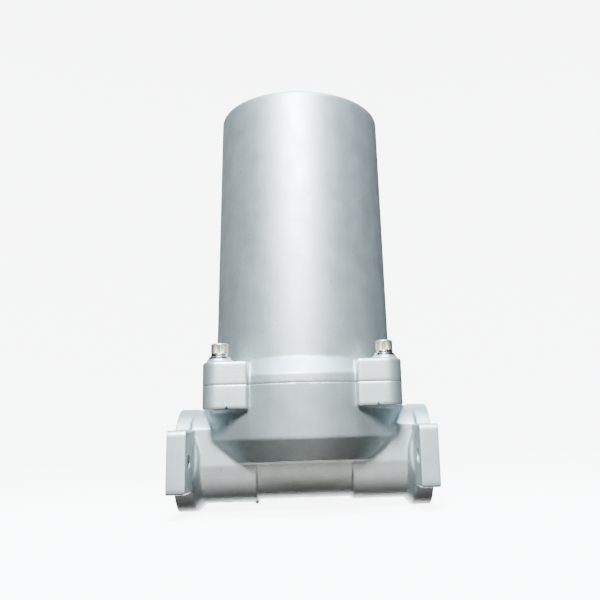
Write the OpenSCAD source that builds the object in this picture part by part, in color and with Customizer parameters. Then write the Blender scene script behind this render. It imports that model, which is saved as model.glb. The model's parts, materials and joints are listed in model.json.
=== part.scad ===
// Inline cartridge filter housing: a cast base with a bolted flange port at each end,
// and an upright cast bowl that covers a pleated element. All sizes in millimetres.
// +Z is up, +X runs along the ports from inlet to outlet, the origin is under the
// middle of the base, level with the flats of the port collars.

/* [Bowl] */
// Outer radius of the bowl where it meets its flange
bowl_r = 73; // [72:0.5:75]
// Outer radius of the bowl at its closed end
bowl_top_r = 69.5; // [69:0.5:72]
// Height of the closed end above the ground
bowl_top_z = 336; // [328:1:350]
// Thickness of the bowl's side wall
bowl_wall = 6.5; // [6:0.5:7]

/* [Flange joint] */
// Height of the joint face between base and bowl
joint_z = 95.5; // [94:0.5:97]
// Outer radius of both halves of the flange
flange_r = 83; // [82:0.5:85]
// Thickness of the bowl's flange at its lugs
flange_h = 17.5; // [17:0.5:20]
// Distance from the centre planes to each clamping screw
bolt_xy = 63; // [62:0.5:64]
// Corner radius of the lugs
lug_r = 12.5; // [12:0.5:13]

/* [Base] */
// Height of the port axis
port_z = 40.2; // [40:0.1:40.8]
// Radius of the port bore
port_bore_r = 25; // [22:0.5:25]
// Distance from the centre to each port face
port_x = 101; // [99:0.5:104]
// Radius of the round collar at each port
collar_r = 41; // [41:0.5:43]
// Half the width of a port flange across its ears
ear_y = 67; // [65:0.5:70]
// Distance from the port axis to each flange bolt hole
ear_hole_y = 55; // [54:0.5:56]

/* [Element] */
// Outer radius of the pleated pack
pack_r = 55; // [52:1:55]
// Number of pleats
pleats = 40; // [32:1:48]
// Height of the top of the element
element_top_z = 300; // [290:1:302]

/* [Hidden] */
$fn = 96;
cut = 1;

// Flange joint
flange_top_z = joint_z + flange_h;
flange_edge_z = joint_z + 7.5;
flange_cone_h = 12;
lug_flank = 41;
lug_low_z = joint_z - 17.5;
boss_h = 2.5;
boss_top_z = flange_top_z + boss_h;
boss_r = 10.5;
bowl_in_r = bowl_r - bowl_wall;
bowl_in_top_r = bowl_top_r - bowl_wall;
bowl_roof_t = 7;
bowl_roof_z = bowl_top_z - bowl_roof_t;
roof_corner_r = 6;
roof_boss_h = 6;
roof_boss_r = 16;
top_edge_r = 4;
blend_r = 3;

// Base
body_r = flange_r - 3.2;
body_chamfer = 17;
body_low_z = 38.5;
body_low_r = body_r - body_chamfer;
chamber_r = 72;
chamber_chamfer = 12;
chamber_floor_z = 51;
chamber_lip = 6;
tube_wall = 6;
neck_w = 35.5;
neck_r = 36;
neck_low_z = 5.5;
neck_mid_low_z = 7.5;
neck_roof_r = 48;
neck_roof_z = 80.5;
neck_mid_x = 39;
collar_t = 14.5;
collar_flank = 5;
collar_w = 37.5;
ear_h = 23.4;
ear_edge_r = 4;
ear_hole_r = 5.5;
outlet_hole_play = 0.2;
boss_in_r = 20;
boss_out_r = 29;
boss_z = 72;
inlet_end_x = 38;

// Seals
bowl_seal_r = 74;
bowl_seal_t = 1.5;
face_seal_r = 31;
face_seal_t = 1.6;
groove_half = 2;
seal_drop = 0.02;
plug_play = 0.35;

// Clamping screws, M8 with a 1.25 mm pitch
screw_r = 3.9;
screw_len = 40;
screw_head_r = 6.5;
screw_head_h = 8;
screw_head_edge = 0.8;
screw_socket = 4;
screw_hole_r = 4.5;
thread_hole_r = 4.25;
hex_flats = 6;
washer_t = 1.8;
washer_r = 8.2;
lock_t = 2.2;
lock_r = 6.6;
lock_split = 1;
washer_play = 0.4;
head_z = boss_top_z + washer_t + lock_t;

// Element
cap_t = 4;
cap_r = pack_r + 2.2;
cap_rim_h = 12;
cap_rim_r = pack_r + 1.1;
element_low_z = 76;
cap_collar_h = 16;
cap_collar_t = 3.6;
cap_play = 0.4;
spigot_r = 22;
spigot_bore_r = 17;
spigot_top_z = 98;
spigot_tail = 14;
spigot_shoulder_r = 26;
spigot_edge = 2;
spigot_groove_z = element_low_z + 9;
spigot_groove_w = 3.6;
spigot_groove_d = 2.4;
spigot_seal_t = 1.25;
pack_in_r = 33;
core_r = 30.5;
core_t = 1.2;
core_hole_r = 4;
core_hole_rows = 9;
guard_t = 0.8;
guard_play = 0.2;
paper_t = 0.9;

// Bypass valve in the upper end cap
bypass_seat_r = 12;
bypass_r = 15;
bypass_t = 3;
bypass_coil_r = 9;
bypass_wire_r = 0.8;
cage_r = 19;
cage_t = 1.5;
cage_floor = 2;
cage_low_z = element_top_z - cap_t - 28;
cage_window_w = 12;
cage_window_low = 5;
cage_window_top = 4;
stem_r = 3;
stem_play = 0.4;
stem_end = 4;

// Hold-down spring and its plate
plate_in_r = 15;
plate_t = 2;
plate_lip_h = 6;
plate_lip_t = 2;
plate_edge = 5;
hold_coil_r = 21;
hold_wire_r = 1.3;

// Vent and drain plugs
vent_r = 4.9;
drain_x = -62;
drain_r = 6.9;
drain_seat_z = 10.5;
vent_len = 13;
drain_len = 5.5;
plug_flange_r = 9.5;
plug_flange_t = 3;
plug_seal_t = 1.2;
plug_seal_play = 0.2;
plug_flats = 8;
plug_socket = 5;
spot_r = 10.3;

function arc(x, y, r, a0, a1, n) =
    [for (i = [0:n]) [x + r * cos(a0 + (a1 - a0) * i / n), y + r * sin(a0 + (a1 - a0) * i / n)]];

// ---- shared shapes ----------------------------------------------------------------

// Plan of one corner lug, filled in towards the middle
module lug_plan() {
    translate([bolt_xy, bolt_xy]) circle(r = lug_r);
    translate([lug_flank, lug_flank]) square([bolt_xy - lug_flank, bolt_xy + lug_r - lug_flank]);
    translate([lug_flank, lug_flank]) square([bolt_xy + lug_r - lug_flank, bolt_xy - lug_flank]);
}

module at_corners() {
    for (mx = [0, 1], my = [0, 1]) mirror([mx, 0, 0]) mirror([0, my, 0]) children();
}

module lugs(z0, z1) {
    at_corners() translate([0, 0, z0]) linear_extrude(z1 - z0) lug_plan();
}

module bolt_drills(z0, z1, r) {
    at_corners() translate([bolt_xy, bolt_xy, z0]) cylinder(r = r, h = z1 - z0);
}

// Cylinder along X from x0 to x1 on the port axis
module along_port(x0, x1, r, r_end = 0) {
    translate([x0, 0, port_z]) rotate([0, 90, 0])
        cylinder(r1 = r, r2 = r_end > 0 ? r_end : r, h = x1 - x0);
}

module ring(r_out, r_in, h) {
    difference() {
        cylinder(r = r_out, h = h);
        translate([0, 0, -cut]) cylinder(r = r_in, h = h + 2 * cut);
    }
}

module o_ring(r, t) {
    rotate_extrude() translate([r, 0]) circle(r = t, $fn = 32);
}

module rounded_plate(w, h, r) {
    for (sx = [-1, 1], sy = [-1, 1]) translate([sx * (w - r), sy * (h - r)]) circle(r = r, $fn = 32);
    square([2 * (w - r), 2 * h], center = true);
    square([2 * w, 2 * (h - r)], center = true);
}

module hex_socket(flats, depth) {
    translate([0, 0, -depth]) cylinder(r = flats / 2 / cos(30), h = depth + cut, $fn = 6);
}

// Round-wire coil spring standing on z = 0
module coil(r, wire, h, turns) {
    steps = 20;
    sides = 10;
    n = turns * steps;
    lift = h - 2 * wire;
    function ease(t) = t < 1 ? t * t / 2 : t > turns - 1 ? turns - 1 - pow(turns - t, 2) / 2 : t - 0.5;
    pts = [for (i = [0:n]) let (t = i / steps, a = 360 * t, z = wire + lift * ease(t) / (turns - 1))
        for (j = [0:sides - 1]) let (b = 360 * j / sides, q = r + wire * cos(b))
            [q * cos(a), q * sin(a), z + wire * sin(b)]];
    side = [for (i = [0:n - 1], j = [0:sides - 1]) let (k = (j + 1) % sides)
        [i * sides + j, i * sides + k, (i + 1) * sides + k, (i + 1) * sides + j]];
    foot = [for (j = [sides - 1:-1:0]) j];
    head = [for (j = [0:sides - 1]) n * sides + j];
    polyhedron(points = pts, faces = concat(side, [foot, head]), convexity = 8);
}

// ---- base ---------------------------------------------------------------------------

// Section of the neck: round underneath, flat sides, and a flatter arc for the roof
module neck_plan(low_z) {
    mid_z = low_z + neck_r;
    intersection() {
        union() {
            translate([0, mid_z]) circle(r = neck_r);
            intersection() {
                translate([0, neck_roof_z - neck_roof_r]) circle(r = neck_roof_r);
                translate([-neck_roof_r, mid_z]) square([2 * neck_roof_r, neck_roof_r]);
            }
        }
        translate([-neck_w, 0]) square([2 * neck_w, 2 * neck_roof_r]);
    }
}

module neck(x0, x1, low_z) {
    translate([x0, 0, 0]) rotate([90, 0, 90]) linear_extrude(x1 - x0) neck_plan(low_z);
}

module port_flange() {
    collar_x = port_x - collar_t;
    intersection() {
        union() {
            along_port(collar_x, port_x, collar_r);
            along_port(collar_x - collar_flank, collar_x, neck_r, collar_r);
        }
        translate([0, -collar_w, 0]) cube([port_x, 2 * collar_w, 2 * collar_r]);
    }
    translate([collar_x, 0, port_z]) rotate([90, 0, 90]) linear_extrude(collar_t)
        rounded_plate(ear_y, ear_h, ear_edge_r);
}

module base_outside() {
    rotate_extrude() polygon([[0, body_low_z], [body_low_r, body_low_z],
        [body_r, body_low_z + body_chamfer], [flange_r, joint_z], [0, joint_z]]);
    lugs(lug_low_z, joint_z);
    neck(-neck_mid_x, neck_mid_x, neck_mid_low_z);
    for (side = [0, 1]) mirror([side, 0, 0]) {
        neck(neck_mid_x, port_x - collar_t, neck_low_z);
        port_flange();
    }
}

// Dirty side: the room under the element, open to the inlet passage
module inlet_room() {
    difference() {
        rotate_extrude() polygon([[0, chamber_floor_z], [chamber_r - chamber_chamfer, chamber_floor_z],
            [chamber_r, chamber_floor_z + chamber_chamfer], [chamber_r, joint_z - chamber_lip],
            [bowl_in_r, joint_z - chamber_lip], [bowl_in_r, joint_z + cut], [0, joint_z + cut]]);
        translate([0, 0, port_z]) cylinder(r = boss_out_r, h = boss_z - port_z);
        along_port(0, port_x, port_bore_r + tube_wall);
    }
    along_port(-port_x - cut, -inlet_end_x, port_bore_r);
}

// Clean side: up through the middle of the element and out along +X
module outlet_passage() {
    along_port(0, port_x + cut, boss_in_r);
    along_port(inlet_end_x, port_x + cut, port_bore_r);
    translate([0, 0, port_z]) cylinder(r = boss_in_r, h = boss_z - port_z + cut);
}

module port_details() {
    for (side = [0, 1]) mirror([side, 0, 0]) {
        hole_r = ear_hole_r + (side == 0 ? outlet_hole_play : 0);
        for (sy = [-1, 1]) translate([port_x - collar_t - cut, sy * ear_hole_y, port_z])
            rotate([0, 90, 0]) cylinder(r = hole_r, h = collar_t + 2 * cut);
        translate([port_x - 2 * face_seal_t, 0, port_z]) rotate([0, 90, 0])
            ring(face_seal_r + groove_half, face_seal_r - groove_half, 2 * face_seal_t + cut);
    }
}

module base_casting() {
    color("silver") difference() {
        base_outside();
        inlet_room();
        outlet_passage();
        port_details();
        bolt_drills(lug_low_z - cut, joint_z + cut, thread_hole_r);
        translate([0, 0, joint_z - 2 * bowl_seal_t])
            ring(bowl_seal_r + groove_half, bowl_seal_r - groove_half, 2 * bowl_seal_t + cut);
        translate([drain_x, 0, 0]) {
            translate([0, 0, -cut]) cylinder(r = spot_r, h = drain_seat_z + cut);
            cylinder(r = drain_r + plug_play, h = port_z);
        }
    }
}

module bowl_seal() {
    color([0.1, 0.1, 0.1]) translate([0, 0, joint_z - bowl_seal_t - seal_drop])
        o_ring(bowl_seal_r, bowl_seal_t);
}

module face_seal() {
    color([0.1, 0.1, 0.1]) translate([port_x - face_seal_t - seal_drop, 0, port_z]) rotate([0, 90, 0])
        o_ring(face_seal_r, face_seal_t);
}

module outlet_face_seal() {
    face_seal();
}

module inlet_face_seal() {
    mirror([1, 0, 0]) face_seal();
}

// ---- bowl ---------------------------------------------------------------------------

// Half section of the bowl: flange with a sloping edge blended into the drafted wall
module bowl_section() {
    slope = atan(flange_cone_h / (flange_r - bowl_r));
    tangent = blend_r * tan((90 - slope) / 2);
    blend_z = flange_edge_z + flange_cone_h + tangent;
    polygon(concat(
        [[bowl_in_r, joint_z], [flange_r, joint_z], [flange_r, flange_edge_z]],
        arc(bowl_r + blend_r, blend_z, blend_r, 270 - slope, 180, 4),
        arc(bowl_top_r - top_edge_r, bowl_top_z - top_edge_r, top_edge_r, 0, 90, 6),
        [[0, bowl_top_z], [0, bowl_roof_z]],
        arc(bowl_in_top_r - roof_corner_r, bowl_roof_z - roof_corner_r, roof_corner_r, 90, 0, 4)));
}

module bowl_casting() {
    color("silver") difference() {
        union() {
            rotate_extrude() bowl_section();
            difference() {
                lugs(joint_z, flange_top_z);
                translate([0, 0, joint_z - cut]) cylinder(r = bowl_r - 2, h = flange_h + 2 * cut);
            }
            at_corners() translate([bolt_xy, bolt_xy, flange_top_z]) cylinder(r = boss_r, h = boss_h);
            translate([0, 0, bowl_roof_z - roof_boss_h]) cylinder(r = roof_boss_r, h = roof_boss_h + cut);
        }
        bolt_drills(joint_z - cut, boss_top_z + cut, screw_hole_r);
        translate([0, 0, bowl_top_z - plug_flange_t - plug_seal_t]) cylinder(r = spot_r, h = bowl_roof_t);
        translate([0, 0, bowl_roof_z - 10]) cylinder(r = vent_r + plug_play, h = bowl_roof_t + 10);
    }
}

// ---- clamping screws ------------------------------------------------------------------

module screw_place(n) {
    corner = [[-1, -1], [1, -1], [1, 1], [-1, 1]][n - 1];
    translate([corner[0] * bolt_xy, corner[1] * bolt_xy, 0]) children();
}

module cap_screw(n) {
    color("khaki") screw_place(n) difference() {
        union() {
            translate([0, 0, head_z - screw_len]) cylinder(r = screw_r, h = screw_len + cut);
            translate([0, 0, head_z]) cylinder(r = screw_head_r, h = screw_head_h - screw_head_edge);
            translate([0, 0, head_z + screw_head_h - screw_head_edge])
                cylinder(r1 = screw_head_r, r2 = screw_head_r - screw_head_edge, h = screw_head_edge);
        }
        translate([0, 0, head_z + screw_head_h]) hex_socket(hex_flats, screw_socket);
    }
}

module flat_washer(n) {
    color("gainsboro") screw_place(n) translate([0, 0, boss_top_z])
        ring(washer_r, screw_r + washer_play, washer_t);
}

module lock_washer(n) {
    color("gainsboro") screw_place(n) translate([0, 0, boss_top_z + washer_t]) difference() {
        ring(lock_r, screw_r + washer_play, lock_t);
        translate([0, -lock_split / 2, -cut]) cube([2 * lock_r, lock_split, lock_t + 2 * cut]);
    }
}

// ---- filter element -------------------------------------------------------------------

module element_spigot() {
    color("goldenrod") difference() {
        union() {
            translate([0, 0, boss_z - spigot_tail]) cylinder(r = boss_in_r, h = spigot_tail + cut);
            translate([0, 0, boss_z]) cylinder(r = spigot_shoulder_r, h = element_low_z - boss_z);
            translate([0, 0, boss_z]) cylinder(r = spigot_r, h = spigot_top_z - boss_z - spigot_edge);
            translate([0, 0, spigot_top_z - spigot_edge])
                cylinder(r1 = spigot_r, r2 = spigot_r - spigot_edge, h = spigot_edge);
        }
        translate([0, 0, boss_z - spigot_tail - cut])
            cylinder(r = spigot_bore_r, h = spigot_top_z - boss_z + spigot_tail + 2 * cut);
        translate([0, 0, spigot_groove_z]) ring(spigot_r + 1, spigot_r - spigot_groove_d, spigot_groove_w);
    }
}

module spigot_seal() {
    color([0.15, 0.1, 0.1]) translate([0, 0, spigot_groove_z + spigot_groove_w / 2])
        o_ring(spigot_r - spigot_groove_d + spigot_seal_t + 0.05, spigot_seal_t);
}

module lower_end_cap() {
    color("steelblue") translate([0, 0, element_low_z]) difference() {
        union() {
            cylinder(r = cap_r, h = cap_t);
            ring(cap_r, cap_rim_r, cap_rim_h);
            ring(spigot_r + cap_play + cap_collar_t, spigot_r + cap_play, cap_collar_h);
        }
        translate([0, 0, -cut]) cylinder(r = spigot_r + cap_play, h = cap_t + 2 * cut);
    }
}

module upper_end_cap() {
    color("steelblue") translate([0, 0, element_top_z]) mirror([0, 0, 1]) difference() {
        union() {
            cylinder(r = cap_r, h = cap_t);
            ring(cap_r, cap_rim_r, cap_rim_h);
        }
        translate([0, 0, -cut]) cylinder(r = bypass_seat_r, h = cap_t + 2 * cut);
    }
}

// Outer and inner outlines of the folded sheet
module pleat_outline(r_tip, half_tip, r_valley, half_valley) {
    step = 360 / pleats;
    polygon([for (i = [0:pleats - 1]) for (p = [[r_tip, -half_tip], [r_tip, half_tip],
        [r_valley, step / 2 - half_valley], [r_valley, step / 2 + half_valley]])
        [p[0] * cos(i * step + p[1]), p[0] * sin(i * step + p[1])]]);
}

module pleated_pack() {
    wide_tip = 57.3 * (0.4 + paper_t) / pack_r;
    wide_valley = 57.3 * (0.4 + paper_t) / pack_in_r;
    color("wheat") translate([0, 0, element_low_z + cap_t])
        linear_extrude(element_top_z - element_low_z - 2 * cap_t, convexity = 8) difference() {
            pleat_outline(pack_r, wide_tip, pack_in_r + paper_t, 0.5);
            pleat_outline(pack_r - paper_t, 0.3, pack_in_r, wide_valley);
        }
}

module core_tube() {
    pitch = (element_top_z - element_low_z - 2 * cap_t) / (core_hole_rows + 1);
    color("lightgray") difference() {
        translate([0, 0, element_low_z + cap_t])
            ring(core_r, core_r - core_t, element_top_z - element_low_z - 2 * cap_t);
        for (i = [1:core_hole_rows], a = [0:60:300]) rotate([0, 0, a + 30 * (i % 2)])
            translate([core_r - 3, 0, element_low_z + cap_t + i * pitch]) rotate([0, 90, 0])
                cylinder(r = core_hole_r, h = 3 + cut, $fn = 48);
    }
}

module outer_guard() {
    color("lightgray") translate([0, 0, element_low_z + cap_t])
        ring(pack_r + guard_play + guard_t, pack_r + guard_play, element_top_z - element_low_z - 2 * cap_t);
}

// ---- bypass valve ---------------------------------------------------------------------

module bypass_cage() {
    top_z = element_top_z - cap_t;
    window_h = top_z - cage_low_z - cage_window_low - cage_window_top;
    color("lightgray") difference() {
        translate([0, 0, cage_low_z]) cylinder(r = cage_r, h = top_z - cage_low_z);
        translate([0, 0, cage_low_z + cage_floor]) cylinder(r = cage_r - cage_t, h = top_z - cage_low_z);
        translate([0, 0, cage_low_z - cut]) cylinder(r = stem_r + stem_play, h = cage_floor + 2 * cut);
        for (a = [0, 90]) rotate([0, 0, a])
            translate([-cage_r - cut, -cage_window_w / 2, cage_low_z + cage_window_low])
                cube([2 * (cage_r + cut), cage_window_w, window_h]);
    }
}

module bypass_valve() {
    top_z = element_top_z - cap_t;
    color("goldenrod") {
        translate([0, 0, top_z - bypass_t]) cylinder(r = bypass_r, h = bypass_t);
        translate([0, 0, cage_low_z - stem_end])
            cylinder(r = stem_r, h = top_z - cage_low_z + stem_end - bypass_t + cut);
    }
}

module bypass_spring() {
    color("dimgray") translate([0, 0, cage_low_z + cage_floor])
        coil(bypass_coil_r, bypass_wire_r, element_top_z - cap_t - bypass_t - cage_low_z - cage_floor, 6);
}

// ---- hold-down ------------------------------------------------------------------------

module hold_down_plate() {
    color("lightgray") translate([0, 0, element_top_z]) {
        ring(hold_coil_r + plate_edge, plate_in_r, plate_t);
        ring(plate_in_r + plate_lip_t, plate_in_r, plate_lip_h);
    }
}

module hold_down_spring() {
    color("dimgray") translate([0, 0, element_top_z + plate_t])
        coil(hold_coil_r, hold_wire_r, bowl_roof_z - element_top_z - plate_t, 5);
}

// ---- plugs ----------------------------------------------------------------------------

// Recessed plug with a hexagon socket; its flange seat is z = 0 and it points down
module socket_plug(thread_r, length) {
    difference() {
        union() {
            translate([0, 0, -length]) cylinder(r = thread_r, h = length + cut);
            cylinder(r = plug_flange_r, h = plug_flange_t);
        }
        translate([0, 0, plug_flange_t]) hex_socket(plug_flats, plug_socket);
    }
}

module vent_place() {
    translate([0, 0, bowl_top_z - plug_flange_t]) children();
}

module drain_place() {
    translate([drain_x, 0, drain_seat_z - plug_seal_t]) mirror([0, 0, 1]) children();
}

module vent_plug() {
    color("gainsboro") vent_place() socket_plug(vent_r, vent_len);
}

module vent_seal() {
    color("peru") vent_place() translate([0, 0, -plug_seal_t])
        ring(plug_flange_r, vent_r + plug_seal_play, plug_seal_t);
}

module drain_plug() {
    color("gainsboro") drain_place() socket_plug(drain_r, drain_len);
}

module drain_seal() {
    color("peru") drain_place() translate([0, 0, -plug_seal_t])
        ring(plug_flange_r, drain_r + plug_seal_play, plug_seal_t);
}

base_casting();
bowl_casting();
bowl_seal();
inlet_face_seal();
outlet_face_seal();
element_spigot();
spigot_seal();
lower_end_cap();
upper_end_cap();
pleated_pack();
core_tube();
outer_guard();
bypass_cage();
bypass_valve();
bypass_spring();
hold_down_plate();
hold_down_spring();
vent_plug();
vent_seal();
drain_plug();
drain_seal();
cap_screw(1);  // cap_screw_1
cap_screw(2);  // cap_screw_2
cap_screw(3);  // cap_screw_3
cap_screw(4);  // cap_screw_4
flat_washer(1);  // flat_washer_1
flat_washer(2);  // flat_washer_2
flat_washer(3);  // flat_washer_3
flat_washer(4);  // flat_washer_4
lock_washer(1);  // lock_washer_1
lock_washer(2);  // lock_washer_2
lock_washer(3);  // lock_washer_3
lock_washer(4);  // lock_washer_4
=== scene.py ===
"""Looks of an inline cartridge filter housing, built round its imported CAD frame.

Meshes are modelled in millimetres in the row frame and scaled to metres when they become pieces.
"""

import json
import math

import bpy
import numpy as np
from mathutils import Matrix, Vector

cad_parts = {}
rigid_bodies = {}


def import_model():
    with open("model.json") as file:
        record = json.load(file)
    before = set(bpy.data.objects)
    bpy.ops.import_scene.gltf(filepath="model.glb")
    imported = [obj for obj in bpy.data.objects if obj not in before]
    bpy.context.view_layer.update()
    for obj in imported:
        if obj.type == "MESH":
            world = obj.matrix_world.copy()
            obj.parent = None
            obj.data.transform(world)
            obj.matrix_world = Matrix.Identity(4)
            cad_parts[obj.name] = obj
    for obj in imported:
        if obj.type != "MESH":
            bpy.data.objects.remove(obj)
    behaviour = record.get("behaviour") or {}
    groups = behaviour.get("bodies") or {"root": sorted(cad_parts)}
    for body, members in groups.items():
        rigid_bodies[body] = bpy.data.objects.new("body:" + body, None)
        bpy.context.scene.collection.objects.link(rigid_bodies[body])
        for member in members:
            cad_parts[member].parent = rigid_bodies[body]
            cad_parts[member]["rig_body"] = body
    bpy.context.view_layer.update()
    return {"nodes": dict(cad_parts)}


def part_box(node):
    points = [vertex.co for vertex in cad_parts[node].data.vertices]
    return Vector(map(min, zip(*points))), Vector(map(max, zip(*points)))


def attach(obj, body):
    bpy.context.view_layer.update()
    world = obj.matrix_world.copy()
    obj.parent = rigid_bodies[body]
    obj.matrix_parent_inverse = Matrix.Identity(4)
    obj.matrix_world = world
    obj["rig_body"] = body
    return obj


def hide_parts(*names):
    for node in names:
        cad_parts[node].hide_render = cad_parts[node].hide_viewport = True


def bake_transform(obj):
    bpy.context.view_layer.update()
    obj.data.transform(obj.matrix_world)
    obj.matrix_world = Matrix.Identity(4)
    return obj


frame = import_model()

MM = 0.001
TAU = 2 * math.pi


def span(node):
    """Lowest and highest corner of a CAD node, in millimetres."""
    lo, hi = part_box(node)
    return lo / MM, hi / MM


# ---- sizes, in millimetres ----------------------------------------------------------

CLEAR = 5  # how far a cutter runs past the face that it opens
FAR = 120  # past everything that a cutter has to clear

# ports, neck and body of the base
PORT_X, FLANGE_R, JOINT_Z = span("base_casting")[1]
PORT_Z = 40.2
BORE_R = 25
BORE_END_X = 38
BORE_EDGE = 0.8
EAR_Y = 67
EAR_H = 23.4
EAR_CORNER_R = 4
EAR_HOLE_Y = 55
EAR_HOLE_R = {-1: 5.5, 1: 5.7}
EAR_HOLE_EDGE = 0.6
COLLAR_R = 41
COLLAR_T = 14.5
COLLAR_HALF = 37.5
COLLAR_FLARE = 5
NECK_HALF = 35.5
NECK_R = 36
NECK_LOW_Z = 5.5
NECK_MID_LOW_Z = 7.5
NECK_MID_X = 39
NECK_ROOF_R = 48
NECK_ROOF_Z = 80.5
BODY_R = FLANGE_R - 3.2
BODY_LOW_Z = 38.5
CHAMFER = 17

# room under the element, and the outlet passage that leads from it
CHAMBER_R = 72
CHAMBER_FLOOR_Z = 51
CHAMBER_CHAMFER = 12
MOUTH_R = 66.5
MOUTH_LIP_T = 6
OUTLET_R = 20
OUTLET_END_X = 60
OUTLET_TUBE_R = BORE_R + 6
OUTLET_BOSS_R = 29
OUTLET_BOSS_TOP_Z = 72

# corner lugs and their bosses
BOLT = 63
LUG_R = 12.5
LUG_FLANK = 41
LUG_LOW_Z = JOINT_Z - 17.5
LUG_TOP_Z = JOINT_Z + 17.5
BOSS_R = 9.4
BOSS_TOP_Z = LUG_TOP_Z + 2.5
BASE_HOLE_R = 4.25
BOWL_HOLE_R = 4.5
SCREW_HOLE_EDGE = 0.5
NOTCH_X = BOLT - 7
NOTCH_HALF = 2
NOTCH_H = 2.4

# bowl
BOWL_R = 73
BOWL_TOP_R = 69.5
BOWL_TOP_Z = span("bowl_casting")[1].z
BOWL_ROOF_Z = BOWL_TOP_Z - 7
BOWL_WALL = 6.5
ROOF_CORNER_R = 6
VENT_PAD_R = 16
VENT_PAD_H = 6
VENT_HOLE_R = 5.25
TOP_EDGE_R = 4
CONE_LOW_Z = JOINT_Z + 7.5
CONE_TOP_Z = CONE_LOW_Z + 12

# ring seals and their grooves
SEAL_R = 74
SEAL_T = 1.5
SEAL_GROOVE_T = 3
PORT_SEAL_R = 31
PORT_SEAL_T = 1.6
PORT_GROOVE_T = 3.2
GROOVE_HALF = 2
SEAL_SINK = 0.02

# screws and washers
SCREW_R = 3.9
SCREW_PITCH = 1.25
SCREW_L = 40.0
SCREW_THREAD_L = 27
SCREW_SOCKET = 6
SCREW_SOCKET_T = 4
HEAD_R = 6.5
HEAD_H = 8.0
HEAD_Z = BOSS_TOP_Z + 4
WASHER_HOLE_R = 4.3
WASHER_R = 8.2
WASHER_T = 1.8
SPLIT_MID_R = 5.45
SPLIT_MID_Z = BOSS_TOP_Z + 2.9

# vent and drain plugs
SPOT_R = 10.3
PLUG_FLANGE_R = 9.5
PLUG_FLANGE_T = 3
PLUG_SOCKET = 8
PLUG_SOCKET_T = 4.4
PLUG_PITCH = 1.5
PLUG_SEAL_R = 9.4
PLUG_SEAL_T = 1.2
VENT_Z = BOWL_TOP_Z - PLUG_FLANGE_T
DRAIN_X = -62
DRAIN_SEAT_Z = 10.5
DRAIN_Z = DRAIN_SEAT_Z - PLUG_SEAL_T
DRAIN_HOLE_R = 7.25

# filter element
ELEMENT_LOW_Z = span("lower_end_cap")[0].z
ELEMENT_TOP_Z = span("upper_end_cap")[1].z
CAP_T = 4
CAP_R = span("upper_end_cap")[1].x
CAP_RIM_H = 12
CAP_COLLAR_T = 3.6
CAP_COLLAR_H = 16
PACK_R = span("pleated_pack")[1].x
PACK_IN_R = 33
PLEATS = 40
SPIGOT_R = 22
CAGE_H = 28

CORNERS = [(-1, -1), (1, -1), (1, 1), (-1, 1)]
BASE = frame["nodes"]["base_casting"]["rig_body"]

# ---- mesh helpers ---------------------------------------------------------------------


def mesh_object(name, verts, faces):
    mesh = bpy.data.meshes.new(name)
    mesh.from_pydata([tuple(v) for v in verts], [], faces)
    mesh.update()
    obj = bpy.data.objects.new(name, mesh)
    bpy.context.scene.collection.objects.link(obj)
    return obj


def drop(*objs):
    for obj in objs:
        bpy.data.objects.remove(obj)


def bake(obj):
    """Applies every modifier of a working mesh."""
    bpy.context.view_layer.update()
    made = bpy.data.meshes.new_from_object(obj.evaluated_get(bpy.context.evaluated_depsgraph_get()))
    obj.modifiers.clear()
    obj.data = made
    return obj


def join(objs, name):
    """One working mesh from several; they may overlap, because it is remeshed afterwards."""
    verts, faces = [], []
    for obj in objs:
        start = len(verts)
        verts += [obj.matrix_world @ v.co for v in obj.data.vertices]
        faces += [[start + i for i in p.vertices] for p in obj.data.polygons]
    drop(*objs)
    return mesh_object(name, verts, faces)


def cut(obj, cutters):
    """Takes closed cutters away from a closed mesh, with crisp edges."""
    for cutter in cutters:
        step = obj.modifiers.new("cut", "BOOLEAN")
        step.operation = "DIFFERENCE"
        step.solver = "MANIFOLD"
        step.object = cutter
        bake(obj)
        drop(cutter)
    return obj


def rounded(points, radius, steps=4):
    """A closed outline with its corners rounded, as far as its sides allow."""
    out = []
    count = len(points)
    for i, corner in enumerate(points):
        here = Vector(corner)
        back = Vector(points[i - 1]) - here
        ahead = Vector(points[(i + 1) % count]) - here
        angle = back.angle(ahead, math.pi)
        if angle > math.radians(172) or radius <= 0:
            out.append(tuple(here))
            continue
        reach = min(radius / math.tan(angle / 2), 0.45 * back.length, 0.45 * ahead.length)
        start, end = here + back.normalized() * reach, here + ahead.normalized() * reach
        for k in range(steps + 1):
            t = k / steps
            out.append(tuple(start.lerp(here, t).lerp(here.lerp(end, t), t)))
    return out


def lathe(name, profile, sides=128, at=(0, 0, 0), along=(0, 0, 1)):
    """Turns a closed profile of (radius, height) points; points on the axis become poles."""
    rings, verts, faces = [], [], []
    for r, z in profile:
        if r < 1e-6:
            rings.append([len(verts)] * sides)
            verts.append((0, 0, z))
        else:
            rings.append(list(range(len(verts), len(verts) + sides)))
            verts += [(r * math.cos(TAU * k / sides), r * math.sin(TAU * k / sides), z) for k in range(sides)]
    for low, high in zip(rings, rings[1:] + rings[:1]):
        if low[0] == low[1] and high[0] == high[1]:
            continue
        for k in range(sides):
            n = (k + 1) % sides
            quad = [low[k], low[n], high[n], high[k]]
            faces.append([v for j, v in enumerate(quad) if v != quad[j - 1]])
    turn = Vector((0, 0, 1)).rotation_difference(Vector(along)).to_matrix()
    return mesh_object(name, [turn @ Vector(v) + Vector(at) for v in verts], faces)


def cylinder(r, z0, z1, sides=64, at=(0, 0, 0), along=(0, 0, 1)):
    return lathe("cylinder", rectangle(0, r, z0, z1), sides, at, along)


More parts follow.
